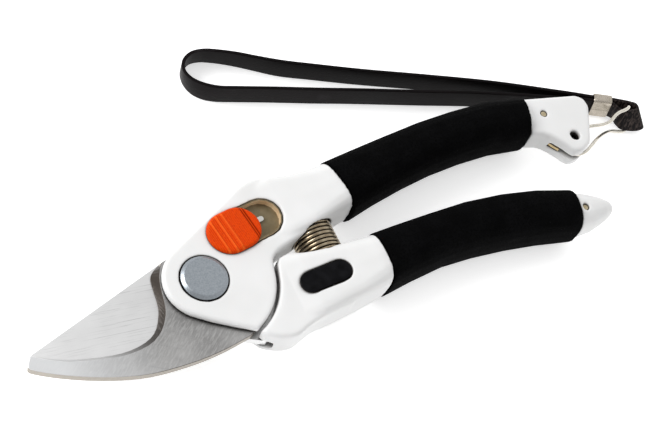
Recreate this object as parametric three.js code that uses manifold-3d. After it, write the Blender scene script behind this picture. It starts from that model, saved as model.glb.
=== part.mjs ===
// Bypass pruner with plastic handles, foam grips, a sliding thumb lock and a wrist strap.
// Millimetres, +Z up. The pruner lies flat and closed. The pivot axis is +Z through the origin,
// +X runs from the blade tips to the handle ends, and z = 0 is the surface it lies on.
import * as THREE from 'three';
import { mergeVertices } from 'three/addons/utils/BufferGeometryUtils.js';
import Module from 'manifold-3d';

const wasm = await Module();
wasm.setup();

// ---------------------------------------------------------------- driving dimensions

const GAP = 0.3; // between pieces that touch

const CUTTER_Z = [7.2, 9.8];
const HOOK_Z = [10.1, 12.7];
const HEAD_Z = [4.7, 15.2];
const REAR_CHEEK_TOP = CUTTER_Z[0] - GAP;
const FRONT_CHEEK_FOOT = HOOK_Z[1] + GAP;
const END_Z = [4.8, 14.5];

const HEAD_RADIUS = 11.8; // round end of each cheek, about the pivot
const CHEEK_REACH = 20.8; // the cheeks' far edge, about the pivot
const BODY_REACH = 21.5; // the full-thickness bodies start here
const HEAD_SLOPE = 25.8; // degrees, straight top edge of the upper head

const BOLT_RADIUS = 4.0;
const BUSH_RADIUS = 5.0;
const BOLT_HEAD_Z = [14.6, 16.0];
const BOLT_HEAD_RADIUS = 6.8;
const NUT_Z = [0, 3.3];
const NUT_RADIUS = 6.4;
const SPRING_WASHER_Z = [3.6, 4.4];
const FRONT_WASHER_Z = [13.8, 14.3];

const LOCK_CENTRE = new THREE.Vector2(18.58, 11.32); // middle of the lock slot
const LOCK_ANGLE = degrees(8.5);
const LOCK_TRAVEL = 4.3;
const LOCK_REST = 4.5; // the button rests this far from the slot's middle
const SLOT_LENGTH = 23.4;
const SLOT_WIDTH = 12.2;
const TRAY_WALL = 0.4;
const TRAY_Z = [13.0, 15.4];
const TRAY_FLOOR = 13.3;
const BUTTON_LENGTH = 16.6;
const BUTTON_WIDTH = 13.1;
const BUTTON_FOOT = HEAD_Z[1] + GAP; // the button's cap is wider than the slot and lies over it
const BUTTON_TOP = 16.8;
const STEM_LENGTH = 11.6; // the button's stem, inside the slot
const STEM_WIDTH = 9.0;
const LOCK_PIN_RADIUS = 1.5;

const SPRING_X = 38.4;
const SPRING_MIDDLE = 8.7; // height of the spring's axis
const SPRING_RADIUS = 6.5;
const SPRING_WIRE = 1.2;
const SPRING_Y = [-7.3, 9.3];
const POCKET_RADIUS = SPRING_RADIUS + 0.35;
const SEAT_THICKNESS = 1.0;
const STUD_RADIUS = 4.7;
const STUD_LENGTH = 3.0;

const FOAM = 2.2; // wall of the grip sleeves
const UPPER_CORE_Z = [8.8, 9.8]; // under the hook's tang
const LOWER_CORE_Z = [10.1, 11.1]; // over the cutting blade's tang
const PIN_RADIUS = 0.9;

const BADGE_CENTRE = new THREE.Vector2(32.7, -11.5);
const BADGE_ANGLE = degrees(2.5);
const BADGE_LENGTH = 16.8;
const BADGE_WIDTH = 6.6;
const BADGE_Z = [16.1, 16.9];

const BAIL_PIN = new THREE.Vector2(133.9, 7.0); // axis of the wire bail
const BAIL_HOLE_RADIUS = 1.75;
const BAIL_TUBE_RADIUS = 1.45;
const SLIT_Z = [8.3, 10.7];
const WIRE = 1.2;

const STRAP_HEIGHT = 7.8;
const STRAP_THICKNESS = 1.1;

const RING = 20; // corners of a lofted section

// ---------------------------------------------------------------- materials

function material(color, roughness, metalness = 0) {
  return new THREE.MeshStandardMaterial({ color, roughness, metalness });
}

const WHITE_PLASTIC = material(0xf2f2f0, 0.35);
const FOAM_RUBBER = material(0x141414, 0.95);
const STAINLESS = material(0xb9bbbd, 0.35, 1);
const ZINC_STEEL = material(0xa9b0b5, 0.3, 1);
const SPRING_STEEL = material(0x9a8f7c, 0.3, 1);
const CHROMATE_STEEL = material(0xa08a55, 0.4, 1);
const ORANGE_PLASTIC = material(0xf4511c, 0.5);
const BLACK_GLOSS = material(0x0b0b0c, 0.25);
const NICKEL = material(0xcfc9bd, 0.25, 1);
const LEATHERETTE = material(0x241c1d, 0.5);
const BRONZE = material(0xb08d57, 0.5, 1);

// ---------------------------------------------------------------- outlines

function degrees(angle) {
  return (angle * Math.PI) / 180;
}

function point(x, y) {
  return new THREE.Vector2(x, y);
}

// The span of heights of a cut that goes right through a piece.
function through([z0, z1]) {
  return [z0 - 1, z1 + 1];
}

// Points on a circle's arc from one angle to another, in degrees, ends included.
function arc(x, y, radius, from, to, steps) {
  const points = [];
  for (let i = 0; i <= steps; i++) {
    const angle = degrees(from + ((to - from) * i) / steps);
    points.push(point(x + radius * Math.cos(angle), y + radius * Math.sin(angle)));
  }
  return points;
}

// Points on a smooth curve through the given [x, y] pairs, ends included.
function curve(pairs, steps) {
  const spline = new THREE.SplineCurve(pairs.map(([x, y]) => point(x, y)));
  return spline.getPoints(steps);
}

// A slot outline: two half circles joined by straight sides.
function pill(centre, length, width, angle, steps = 8) {
  const reach = (length - width) / 2;
  const turn = (angle * 180) / Math.PI;
  const dx = reach * Math.cos(angle);
  const dy = reach * Math.sin(angle);
  return [
    ...arc(centre.x + dx, centre.y + dy, width / 2, turn - 90, turn + 90, steps),
    ...arc(centre.x - dx, centre.y - dy, width / 2, turn + 90, turn + 270, steps),
  ];
}

// ---------------------------------------------------------------- solids

// A flat plate from z0 to z1. A bevel rounds its top and bottom edges inside the outline.
function plate(points, [z0, z1], bevel = 0) {
  const geometry = new THREE.ExtrudeGeometry(new THREE.Shape(points), {
    depth: z1 - z0 - 2 * bevel,
    bevelEnabled: bevel > 0,
    bevelThickness: bevel,
    bevelSize: bevel,
    bevelOffset: -bevel,
    bevelSegments: 2,
    curveSegments: 8,
  });
  return solid(geometry.translate(0, 0, z0 + bevel));
}

// A round bar standing on Z.
function drum(x, y, radius, [z0, z1], steps = 32) {
  const geometry = new THREE.CylinderGeometry(radius, radius, z1 - z0, steps);
  geometry.rotateX(Math.PI / 2);
  return solid(geometry.translate(x, y, (z0 + z1) / 2));
}

// A round bar lying along Y at the spring's place.
function springBar(radius, [y0, y1], steps = 28) {
  const geometry = new THREE.CylinderGeometry(radius, radius, y1 - y0, steps);
  return solid(geometry.translate(SPRING_X, (y0 + y1) / 2, SPRING_MIDDLE));
}

// A turned piece about an axis on Z: the profile holds [radius, height] pairs.
function turned(profile, x = 0, y = 0, steps = 40) {
  const geometry = new THREE.LatheGeometry(
    profile.map(([radius, height]) => point(radius, height)),
    steps,
  );
  geometry.rotateX(Math.PI / 2);
  return solid(geometry.translate(x, y, 0));
}

// A closed surface over rings that each hold the same number of THREE.Vector3 points.
function skin(rings) {
  const count = rings[0].length;
  const positions = [];
  const put = (...corners) => corners.forEach((corner) => positions.push(...corner.toArray()));
  for (let i = 0; i < rings.length - 1; i++) {
    for (let j = 0; j < count; j++) {
      const k = (j + 1) % count;
      put(rings[i][j], rings[i][k], rings[i + 1][k]);
      put(rings[i][j], rings[i + 1][k], rings[i + 1][j]);
    }
  }
  for (const [ring, flip] of [[rings[0], true], [rings[rings.length - 1], false]]) {
    const middle = ring.reduce((sum, corner) => sum.add(corner), new THREE.Vector3());
    middle.divideScalar(count);
    for (let j = 0; j < count; j++) {
      const k = (j + 1) % count;
      if (flip) put(middle, ring[k], ring[j]);
      else put(middle, ring[j], ring[k]);
    }
  }
  const geometry = new THREE.BufferGeometry();
  geometry.setAttribute('position', new THREE.Float32BufferAttribute(positions, 3));
  return solid(geometry);
}

// A handle-like body over stations { x, y, turn, half, low, high, power, lean }. Each section
// stands on the plan line, turned by turn degrees, with the half width, heights and squareness
// given. A lean moves its top along X by that share of its height over the middle.
function loft(stations, inset = 0) {
  const rings = stations.map((station) => {
    const { x, y, turn, half, low, high, power, lean = 0 } = station;
    const ring = [];
    for (let i = 0; i < RING; i++) {
      const angle = (2 * Math.PI * i) / RING;
      const across = rounded(Math.cos(angle), power) * (half - inset);
      const up = rounded(Math.sin(angle), power) * ((high - low) / 2 - inset);
      const heading = degrees(turn);
      ring.push(
        new THREE.Vector3(
          x - across * Math.sin(heading) + up * lean,
          y + across * Math.cos(heading),
          (low + high) / 2 + up,
        ),
      );
    }
    return ring;
  });
  return skin(rings);
}

function rounded(value, power) {
  return Math.sign(value) * Math.abs(value) ** (2 / power);
}

// A blade: two outlines with the same number of points, one at each face, so that an edge can
// be ground to a bevel.
function blade(lower, upper, [z0, z1]) {
  const count = lower.length;
  const positions = [];
  const put = (...corners) => corners.forEach(({ at, z }) => positions.push(at.x, at.y, z));
  for (let i = 0; i < count; i++) {
    const j = (i + 1) % count;
    const a = { at: lower[i], z: z0 };
    const b = { at: lower[j], z: z0 };
    const c = { at: upper[j], z: z1 };
    const d = { at: upper[i], z: z1 };
    put(a, b, c);
    put(a, c, d);
  }
  for (const [i, j, k] of THREE.ShapeUtils.triangulateShape(lower, [])) {
    put({ at: lower[k], z: z0 }, { at: lower[j], z: z0 }, { at: lower[i], z: z0 });
  }
  for (const [i, j, k] of THREE.ShapeUtils.triangulateShape(upper, [])) {
    put({ at: upper[i], z: z1 }, { at: upper[j], z: z1 }, { at: upper[k], z: z1 });
  }
  const geometry = new THREE.BufferGeometry();
  geometry.setAttribute('position', new THREE.Float32BufferAttribute(positions, 3));
  return solid(geometry);
}

// A closed mesh as a solid that can be joined and cut.
function solid(geometry) {
  const bare = geometry.index ? geometry.toNonIndexed() : geometry;
  bare.deleteAttribute('normal');
  bare.deleteAttribute('uv');
  const merged = mergeVertices(bare, 1e-4);
  return new wasm.Manifold(
    new wasm.Mesh({
      numProp: 3,
      vertProperties: merged.attributes.position.array,
      triVerts: new Uint32Array(merged.index.array),
    }),
  );
}

// The named mesh of a finished solid.
function named(name, body, finish) {
  const { vertProperties, triVerts } = body.getMesh();
  const geometry = new THREE.BufferGeometry();
  geometry.setAttribute('position', new THREE.BufferAttribute(vertProperties, 3));
  geometry.setIndex(new THREE.BufferAttribute(triVerts, 1));
  geometry.computeVertexNormals();
  const mesh = new THREE.Mesh(geometry, finish);
  mesh.name = name;
  return mesh;
}

// ---------------------------------------------------------------- blades

const OUTER_EDGE = curve(
  [
    [-54.0, -6.7],
    [-53.6, -8.4],
    [-46.4, -12.6],
    [-36.3, -17.0],
    [-25.3, -20.2],
    [-13.3, -21.2],
    [-3.4, -20.8],
    [5.9, -19.4],
  ],
  24,
);

// The hook, or counter blade: its concave edge is ground to a bevel on the front face.
function counterBlade() {
  const tang = [
    point(7.6, -18.6),
    point(18.6, -6.6),
    point(20.6, 0),
    point(29.8, 8.6),
    point(30.6, 11.5),
    point(46, 11.8),
    point(46, 19.4),
    point(30, 19.4),
    point(14, 16.4),
    point(3.4, 12.6),
  ];
  const flat = curve(
    [
      [-8.5, 9.3],
      [-9.9, 7.4],
      [-11.4, 4.1],
      [-12.3, 0.1],
      [-13.2, -3.9],
      [-14.5, -6.6],
      [-17.2, -9.9],
      [-21.6, -12.3],
      [-28.5, -12.9],
      [-35.3, -11.8],
      [-45.0, -9.1],
      [-52.6, -4.5],
    ],
    28,
  );
  const ground = curve(
    [
      [-8.8, 9.9],
      [-11.5, 8.2],
      [-12.7, 6.4],
      [-13.2, 3.0],
      [-13.7, -0.6],
      [-14.6, -3.6],
      [-17.4, -8.0],
      [-21.2, -10.3],
      [-27.2, -11.2],
      [-34.3, -10.3],
      [-44.0, -7.6],
      [-51.9, -3.5],
    ],
    28,
  );
  const rest = [...OUTER_EDGE, ...tang];
  return blade([...rest, ...ground], [...rest, ...flat], HOOK_Z)
    .subtract(drum(0, 0, BUSH_RADIUS + GAP, through(HOOK_Z)))
    .subtract(lockTrack());
}

// The cutting blade: its convex edge is ground on the rear face and hides behind the hook.
function cuttingBlade() {
  const sharp = curve(
    [
      [-51.8, -6.0],
      [-45.0, -10.4],
      [-36.0, -14.4],
      [-26.0, -17.0],
      [-16.0, -17.4],
      [-7.6, -14.6],
    ],
    14,
  );
  const ground = curve(
    [
      [-51.2, -5.2],
      [-44.4, -8.2],
      [-35.2, -11.6],
      [-25.6, -14.0],
      [-16.4, -14.6],
      [-9.0, -12.2],
    ],
    14,
  );
  const rest = [
    point(-4.0, -14.0),
    point(3.4, -17.8),
    point(6.7, -19.6),
    point(10.4, -21.5),
    point(18.0, -19.0),
    point(46.0, -17.4),
    point(46.0, -9.6),
    point(30.8, -9.4),
    point(30.0, -7.4),
    point(16.0, 1.6),
    ...arc(0, 0, 11.3, 30, 108, 9),
    point(-7.2, 10.6),
    point(-51.9, -3.4),
    point(-52.3, -4.2),
  ];
  return blade([...ground, ...rest], [...sharp, ...rest], CUTTER_Z)
    .subtract(drum(0, 0, BUSH_RADIUS + GAP, through(CUTTER_Z)));
}

// ---------------------------------------------------------------- handles

// Stations along each handle: the white body behind the head, then the length inside the foam.
const UPPER_BODY = [
  { x: 24, y: 12.9, turn: 4, half: 10.6, low: 4.2, high: 14.8, power: 8 },
  { x: 31, y: 13.9, turn: 3, half: 10.0, low: 1.6, high: 16.3, power: 8 },
  { x: 38, y: 13.7, turn: 3, half: 8.9, low: 0.8, high: 17.0, power: 7 },
  { x: 44, y: 14.3, turn: 6, half: 8.3, low: 0.8, high: 17.4, power: 5 },
  { x: 50, y: 15.1, turn: 9, half: 8.2, low: 0.8, high: 18.2, power: 3.4 },
  { x: 55, y: 15.9, turn: 10, half: 8.0, low: 0.8, high: 18.2, power: 2.7 },
];
const UPPER_GRIP = [
  { x: 51.1, y: 15.1, turn: 11, half: 9.0, low: 0, high: 19, power: 2.7 },
  { x: 61, y: 16.8, turn: 9, half: 8.4, low: 0, high: 19, power: 2.6 },
  { x: 73, y: 18.5, turn: 7.5, half: 7.9, low: 0, high: 19, power: 2.5 },
  { x: 85, y: 19.8, turn: 4, half: 7.6, low: 0, high: 19, power: 2.5 },
  { x: 97, y: 20.3, turn: 1, half: 7.4, low: 0, high: 19, power: 2.5 },
  { x: 109, y: 20.1, turn: -5, half: 7.4, low: 0.1, high: 18.8, power: 2.5 },
  { x: 121.3, y: 18.1, turn: -15.5, half: 7.3, low: 0.9, high: 17.9, power: 2.6 },
];
const LOWER_BODY = [
  { x: 23, y: -11.4, turn: 0, half: 10.6, low: 4.2, high: 15.4, power: 7 },
  { x: 28, y: -11.5, turn: 0, half: 10.2, low: 1.6, high: 16.6, power: 7 },
  { x: 34, y: -11.7, turn: 0, half: 9.3, low: 0.8, high: 16.9, power: 7 },
  { x: 42, y: -11.5, turn: 0, half: 8.8, low: 0.8, high: 17.1, power: 5.5 },
  { x: 50, y: -11.1, turn: 0, half: 8.4, low: 0.8, high: 18.2, power: 3.4 },
  { x: 55, y: -10.7, turn: 0, half: 8.1, low: 0.8, high: 18.2, power: 2.7 },
];
const LOWER_GRIP = [
  { x: 51.8, y: -10.9, turn: -1, half: 8.7, low: 0, high: 19, power: 2.7, lean: 0.15 },
  { x: 61, y: -10.1, turn: 2, half: 8.1, low: 0, high: 19, power: 2.6 },
  { x: 73, y: -9.5, turn: 1, half: 7.6, low: 0, high: 19, power: 2.5 },
  { x: 85, y: -9.8, turn: -4, half: 7.8, low: 0, high: 19, power: 2.5 },
  { x: 97, y: -11.1, turn: -8, half: 7.8, low: 0, high: 19, power: 2.5 },
  { x: 108, y: -13.1, turn: -12, half: 7.6, low: 0.1, high: 18.8, power: 2.5 },
  { x: 119.8, y: -16.2, turn: -12, half: 7.2, low: 0.9, high: 17.9, power: 2.6 },
];
const LOWER_TIP = [
  { x: 115.0, y: -15.0, turn: -14, half: 5.4, low: 2.6, high: 16.4, power: 2.4 },
  { x: 120.2, y: -16.3, turn: -13, half: 6.6, low: 2.4, high: 16.6, power: 2.4 },
  { x: 125.0, y: -17.1, turn: -8, half: 5.8, low: 3.2, high: 15.8, power: 2.3 },
  { x: 130.0, y: -17.6, turn: -4, half: 4.0, low: 4.2, high: 14.2, power: 2.3 },
  { x: 133.0, y: -18.0, turn: -3, half: 2.5, low: 5.8, high: 12.6, power: 2.2 },
  { x: 134.4, y: -18.1, turn: -3, half: 1.1, low: 7.6, high: 11.0, power: 2 },
];

// The station moved along its own heading.
function shifted(station, distance) {
  const heading = degrees(station.turn);
  return {
    ...station,
    x: station.x + distance * Math.cos(heading),
    y: station.y + distance * Math.sin(heading),
  };
}

// A loft whose two ends are carried past its first and last stations.
function longLoft(stations, past, inset) {
  const first = stations[0];
  const last = stations[stations.length - 1];
  return loft([shifted(first, -past), ...stations, shifted(last, past)], inset);
}

// A foam sleeve, open at both ends.
function sleeve(stations) {
  return loft(stations).subtract(longLoft(stations, 3, FOAM));
}

// A white body with the room for its sleeve cut away and the core inside the sleeve left.
function sleeved(body, stations) {
  return body.subtract(longLoft(stations, GAP, -GAP)).add(longLoft(stations, 2, FOAM + GAP));
}

// The swept space about the pivot that the other half's cheek and blade move in.
function turningRoom(heights) {
  return drum(0, 0, BODY_REACH, heights, 64);
}

function springPocket() {
  const deep = SEAT_THICKNESS + 2 * GAP;
  return springBar(POCKET_RADIUS, [SPRING_Y[0] - deep, SPRING_Y[1] + deep]);
}

function upperHead() {
  const outline = [
    ...arc(0, 0, HEAD_RADIUS, 90 + HEAD_SLOPE, 229, 12),
    point(-3.1, -12.5),
    point(2.3, -16.0),
    ...arc(0, 0, CHEEK_REACH, -68, -12, 9),
    ...curve(
      [
        [21.3, -1.2],
        [23.4, 0.7],
        [27.0, 1.9],
        [33.3, 3.5],
        [38.0, 4.6],
      ],
      7,
    ),
    ...curve(
      [
        [38.0, 22.7],
        [32.0, 23.6],
        [28.8, 24.5],
        [24.8, 24.4],
        [20.7, 23.2],
        [14.8, 20.3],
      ],
      9,
    ),
  ];
  return plate(outline, HEAD_Z, 1.0);
}

function endBlock() {
  const outline = [
    ...curve(
      [
        [117.0, 12.6],
        [124.0, 10.5],
        [126.8, 8.0],
        [129.3, 4.5],
        [131.0, 1.8],
        [134.5, 1.5],
        [138.0, 3.4],
      ],
      12,
    ),
    point(141.9, 10.0),
    ...curve(
      [
        [144.6, 15.2],
        [144.3, 18.3],
        [142.1, 20.3],
      ],
      6,
    ),
    point(117.0, 25.8),
  ];
  return plate(outline, END_Z, 1.2);
}

// The slit through the end block's middle that the wire swings in.
function bailSlit() {
  const outline = [
    point(126.4, -2),
    point(152, -2),
    point(152, 11.6),
    point(136, 11.6),
    point(132, 12.9),
    point(126.4, 12.9),
  ];
  return plate(outline, SLIT_Z);
}

function upperHandle() {
  const tangRoom = plate(
    [
      point(18, -6.9),
      point(21, -0.4),
      point(30.1, 8.4),
      point(30.9, 11.2),
      point(46.3, 11.4),
      point(46.3, 19.7),
      point(30, 19.7),
      point(10, 16.6),
    ],
    [UPPER_CORE_Z[1], FRONT_CHEEK_FOOT],
  );
  const bodies = wasm.Manifold.union([upperHead(), loft(UPPER_BODY), endBlock()]);
  return sleeved(bodies, UPPER_GRIP)
    .subtract(turningRoom([0, FRONT_CHEEK_FOOT]))
    .subtract(tangRoom)
    .subtract(stripRoom(UPPER_STRIP, UPPER_CORE_Z))
    .subtract(springPocket())
    .subtract(drum(0, 0, BOLT_RADIUS + GAP, [0, 20]))
    .subtract(drum(0, 0, BOLT_HEAD_RADIUS + GAP, [FRONT_WASHER_Z[0] - GAP, 20], 40))
    .subtract(plate(pill(LOCK_CENTRE, SLOT_LENGTH, SLOT_WIDTH, LOCK_ANGLE), [TRAY_Z[0] - GAP, 20]))
    .subtract(bailSlit())
    .subtract(drum(BAIL_PIN.x, BAIL_PIN.y, BAIL_HOLE_RADIUS, [0, 20], 24))
    .subtract(pinHole(UPPER_PIN));
}

function lowerBody() {
  const outline = [
    ...arc(0, 0, BODY_REACH, -67, -16, 8),
    ...curve(
      [
        [21.5, -3.4],
        [22.3, -1.9],
        [23.7, -1.0],
        [25.8, -0.6],
        [28.7, -1.1],
        [32.2, -2.1],
        [38.0, -2.7],
      ],
      9,
    ),
    ...curve(
      [
        [38.0, -20.8],
        [30.3, -21.6],
        [23.5, -22.8],
        [19.1, -24.4],
        [16.1, -24.6],
        [12.4, -23.4],
        [9.2, -21.4],
      ],
      10,
    ),
  ];
  return plate(outline, HEAD_Z, 1.0);
}

function rearCheek() {
  const outline = [
    ...arc(0, 0, HEAD_RADIUS, 108, 229, 12),
    point(2.3, -16.0),
    point(7.4, -18.9),
    point(12.4, -23.0),
    point(24.0, -18.0),
    point(24.0, -4.0),
    point(20.6, -2.0),
    ...arc(0, 0, CHEEK_REACH, 8, 40, 4),
  ];
  return plate(outline, [HEAD_Z[0], REAR_CHEEK_TOP], 0.7);
}

function lowerHandle() {
  const tangRoom = plate(
    [
      point(4, -24.0),
      point(46.3, -17.7),
      point(46.3, -9.3),
      point(31.0, -9.1),
      point(30.2, -7.1),
      point(20, -0.6),
      point(8, -8),
    ],
    [REAR_CHEEK_TOP, CUTTER_Z[1] + GAP],
  );
  const bodies = wasm.Manifold.union([lowerBody(), loft(LOWER_BODY), loft(LOWER_TIP)]);
  const badge = pill(BADGE_CENTRE, BADGE_LENGTH + GAP, BADGE_WIDTH + GAP, BADGE_ANGLE);
  return sleeved(bodies, LOWER_GRIP)
    .subtract(turningRoom([0, 20]))
    .add(rearCheek())
    .subtract(tangRoom)
    .subtract(stripRoom(LOWER_STRIP, LOWER_CORE_Z))
    .subtract(springPocket())
    .subtract(drum(0, 0, BOLT_RADIUS + GAP, [0, 20]))
    .subtract(plate(badge, [BADGE_Z[0] - GAP, 20]))
    .subtract(pinHole(LOWER_PIN));
}

// ---------------------------------------------------------------- core strips and their pins

// Steel strips that stiffen the plastic: the line each follows and its half width.
const UPPER_STRIP = {
  line: [
    [27, 15.2],
    [38, 15.5],
    [50, 15.8],
    [72, 18.3],
    [96, 20.4],
    [112, 19.2],
    [130, 14.8],
  ],
  half: 3.9,
};
const LOWER_STRIP = {
  line: [
    [27, -13.3],
    [46, -13.2],
    [60, -11.0],
    [72, -9.6],
    [96, -11.2],
    [110, -13.9],
    [124.4, -17.6],
  ],
  half: 3.8,
};
const UPPER_PIN = point(127.8, 17.2);
const LOWER_PIN = point(122.2, -17.2);

function stripOutline({ line, half }, margin) {
  const steps = 14;
  const spline = new THREE.SplineCurve(line.map(([x, y]) => point(x, y)));
  const left = [];
  const right = [];
  for (let i = 0; i <= steps; i++) {
    const along = spline.getTangent(i / steps);
    const past = i === 0 ? -margin : i === steps ? margin : 0;
    const at = spline.getPoint(i / steps).addScaledVector(along, past);
    const out = point(-along.y, along.x).multiplyScalar(half + margin);
    left.push(at.clone().add(out));
    right.push(at.clone().sub(out));
  }
  return [...right, ...left.reverse()];
}

function stripRoom(strip, [z0, z1]) {
  return plate(stripOutline(strip, GAP), [z0 - GAP, z1 + GAP]);
}

function coreStrip(strip, heights, pin) {
  return plate(stripOutline(strip, 0), heights).subtract(drum(pin.x, pin.y, PIN_RADIUS + GAP, [0, 20], 20));
}

// The upper strip ends in a tongue that shows in the bail's slit.
function upperCoreStrip() {
  const tongue = [
    point(126.8, 8.9),
    point(128.9, 5.9),
    point(129.6, 6.6),
    point(129.6, 12.5),
    point(126.8, 12.5),
  ];
  return coreStrip(UPPER_STRIP, UPPER_CORE_Z, UPPER_PIN).add(plate(tongue, UPPER_CORE_Z));
}

function pinHole(pin) {
  return drum(pin.x, pin.y, PIN_RADIUS + GAP, [0, 20], 20);
}

function corePin(pin, heights) {
  return drum(pin.x, pin.y, PIN_RADIUS, heights, 20);
}

// ---------------------------------------------------------------- pivot

// The bolt's flat head has a chamfer round its rim.
function pivotBolt() {
  const [low, high] = BOLT_HEAD_Z;
  return turned([
    [0, 0],
    [BOLT_RADIUS - 0.5, 0],
    [BOLT_RADIUS, 0.5],
    [BOLT_RADIUS, low],
    [BOLT_HEAD_RADIUS, low],
    [BOLT_HEAD_RADIUS, high - 0.7],
    [BOLT_HEAD_RADIUS - 1, high],
    [0, high],
  ]);
}

function pivotNut() {
  return plate(arc(0, 0, NUT_RADIUS, 0, 300, 5), NUT_Z)
    .subtract(drum(0, 0, BOLT_RADIUS + GAP, through(NUT_Z)));
}

function ring(inner, outer, heights) {
  return drum(0, 0, outer, heights).subtract(drum(0, 0, inner, through(heights)));
}

// The spring washer is a split ring.
function springWasher() {
  const split = plate([point(3, -0.4), point(8, 0.6), point(8, 1.4), point(3, 0.4)], through(SPRING_WASHER_Z));
  return ring(BOLT_RADIUS + GAP, 6.2, SPRING_WASHER_Z).subtract(split);
}

// ---------------------------------------------------------------- lock

// The point this far from the slot's middle, along the slot.
function alongSlot(distance) {
  return point(
    LOCK_CENTRE.x + distance * Math.cos(LOCK_ANGLE),
    LOCK_CENTRE.y + distance * Math.sin(LOCK_ANGLE),
  );
}

// Rest place of the button, at the blade end of its slot.
const BUTTON_REST = alongSlot(-LOCK_REST);

// The track that the lock pin slides in.
function lockTrack() {
  const width = 2 * LOCK_PIN_RADIUS;
  const middle = alongSlot(LOCK_TRAVEL / 2 - LOCK_REST);
  return plate(pill(middle, LOCK_TRAVEL + width + 1, width + 1, LOCK_ANGLE), [8, 20]);
}

// A pressed tray lines the slot.
function lockTray() {
  const wall = GAP + TRAY_WALL;
  const outer = pill(LOCK_CENTRE, SLOT_LENGTH - 2 * GAP, SLOT_WIDTH - 2 * GAP, LOCK_ANGLE);
  const room = pill(LOCK_CENTRE, SLOT_LENGTH - 2 * wall, SLOT_WIDTH - 2 * wall, LOCK_ANGLE);
  return plate(outer, TRAY_Z)
    .subtract(plate(room, [TRAY_FLOOR, 20]))
    .subtract(lockTrack());
}

const SLIDER_Z = [TRAY_FLOOR + GAP, TRAY_FLOOR + GAP + 0.4];
const STEM_Z = [SLIDER_Z[1] + GAP, BUTTON_FOOT + 0.3];
const LOCK_PIN_Z = [HOOK_Z[0] + 0.2, STEM_Z[0] + 1.0];

function lockPinHole(heights) {
  return drum(BUTTON_REST.x, BUTTON_REST.y, LOCK_PIN_RADIUS + GAP, heights, 20);
}

// The thumb button has a row of ribs across its top.
function lockButton() {
  const ribFoot = BUTTON_TOP - 0.35;
  const cap = plate(
    pill(BUTTON_REST, BUTTON_LENGTH, BUTTON_WIDTH, LOCK_ANGLE, 10),
    [BUTTON_FOOT, ribFoot],
    0.3,
  );
  const stem = plate(pill(BUTTON_REST, STEM_LENGTH, STEM_WIDTH, LOCK_ANGLE), STEM_Z);
  const ribs = [-3.2, -1.1, 1.0, 3.1].map((along) => {
    const rib = pill(point(along, 0), 1.0, 1.0, 0, 3);
    const wide = rib.map(({ x, y }) => point(x, y + Math.sign(y) * (BUTTON_WIDTH / 2 - 2)));
    const placed = wide.map((corner) => corner.rotateAround(point(0, 0), LOCK_ANGLE).add(BUTTON_REST));
    return plate(placed, [ribFoot - 0.3, BUTTON_TOP]);
  });
  return wasm.Manifold.union([cap, stem, ...ribs]).subtract(lockPinHole([0, LOCK_PIN_Z[1] + GAP]));
}

// The slider plate carries a bright tab that shows beyond the button.
function lockSlider() {
  const tab = pill(point(21.6, 12.0), 6.6, 1.6, LOCK_ANGLE, 4);
  return plate(pill(BUTTON_REST, STEM_LENGTH, STEM_WIDTH, LOCK_ANGLE), SLIDER_Z)
    .add(plate(tab, SLIDER_Z))
    .subtract(lockPinHole([0, 20]));
}

// ---------------------------------------------------------------- spring and badge

function returnSpring() {
  return springBar(SPRING_RADIUS, SPRING_Y)
    .subtract(springBar(SPRING_RADIUS - SPRING_WIRE, through(SPRING_Y)));
}

// A seat behind one end of the spring, with a stud inside the coil. side is 1 or -1.
function springSeat(foot, side) {
  const span = (a, b) => [Math.min(a, b), Math.max(a, b)];
  const back = foot + side * SEAT_THICKNESS;
  return springBar(SPRING_RADIUS, span(foot, back))
    .add(springBar(STUD_RADIUS, span(foot - side * STUD_LENGTH, back), 24));
}

function nameBadge() {
  return plate(pill(BADGE_CENTRE, BADGE_LENGTH - GAP, BADGE_WIDTH - GAP, BADGE_ANGLE), BADGE_Z);
}

// ---------------------------------------------------------------- wrist strap

// The wire bail: from inside the strap's small loop, under the strap, round the rivet in the
// handle's slit, back over the strap and down inside the loop again.
const BAIL_ROUTE = [
  [162.9, 11.6, 4.2],
  [163.0, 10.8, 2.3],
  [163.0, 9.6, 0.95],
  [162.2, 8.6, 0.75],
  [160.6, 8.7, 0.75],
  [158.8, 9.5, 0.75],
  [156.6, 9.8, 1.3],
  [153.0, 8.9, 3.6],
  [148.4, 7.3, 6.2],
  [143.6, 5.2, 8.8],
  [140.8, 3.8, 9.5],
  [137.6, 2.4, 9.5],
  [134.3, 2.3, 9.5],
  [132.0, 3.9, 9.5],
  [130.9, 7.0, 9.5],
  [131.8, 9.1, 9.5],
  [134.0, 10.0, 9.5],
  [138.5, 10.2, 9.5],
  [144.3, 10.2, 9.5],
  [149.0, 9.4, 9.5],
  [152.4, 9.7, 9.6],
  [155.0, 11.0, 9.9],
  [157.4, 11.6, 10.1],
  [160.0, 11.7, 10.1],
  [161.8, 12.5, 9.6],
  [162.5, 13.0, 8.0],
  [162.6, 12.7, 6.0],
];

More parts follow.
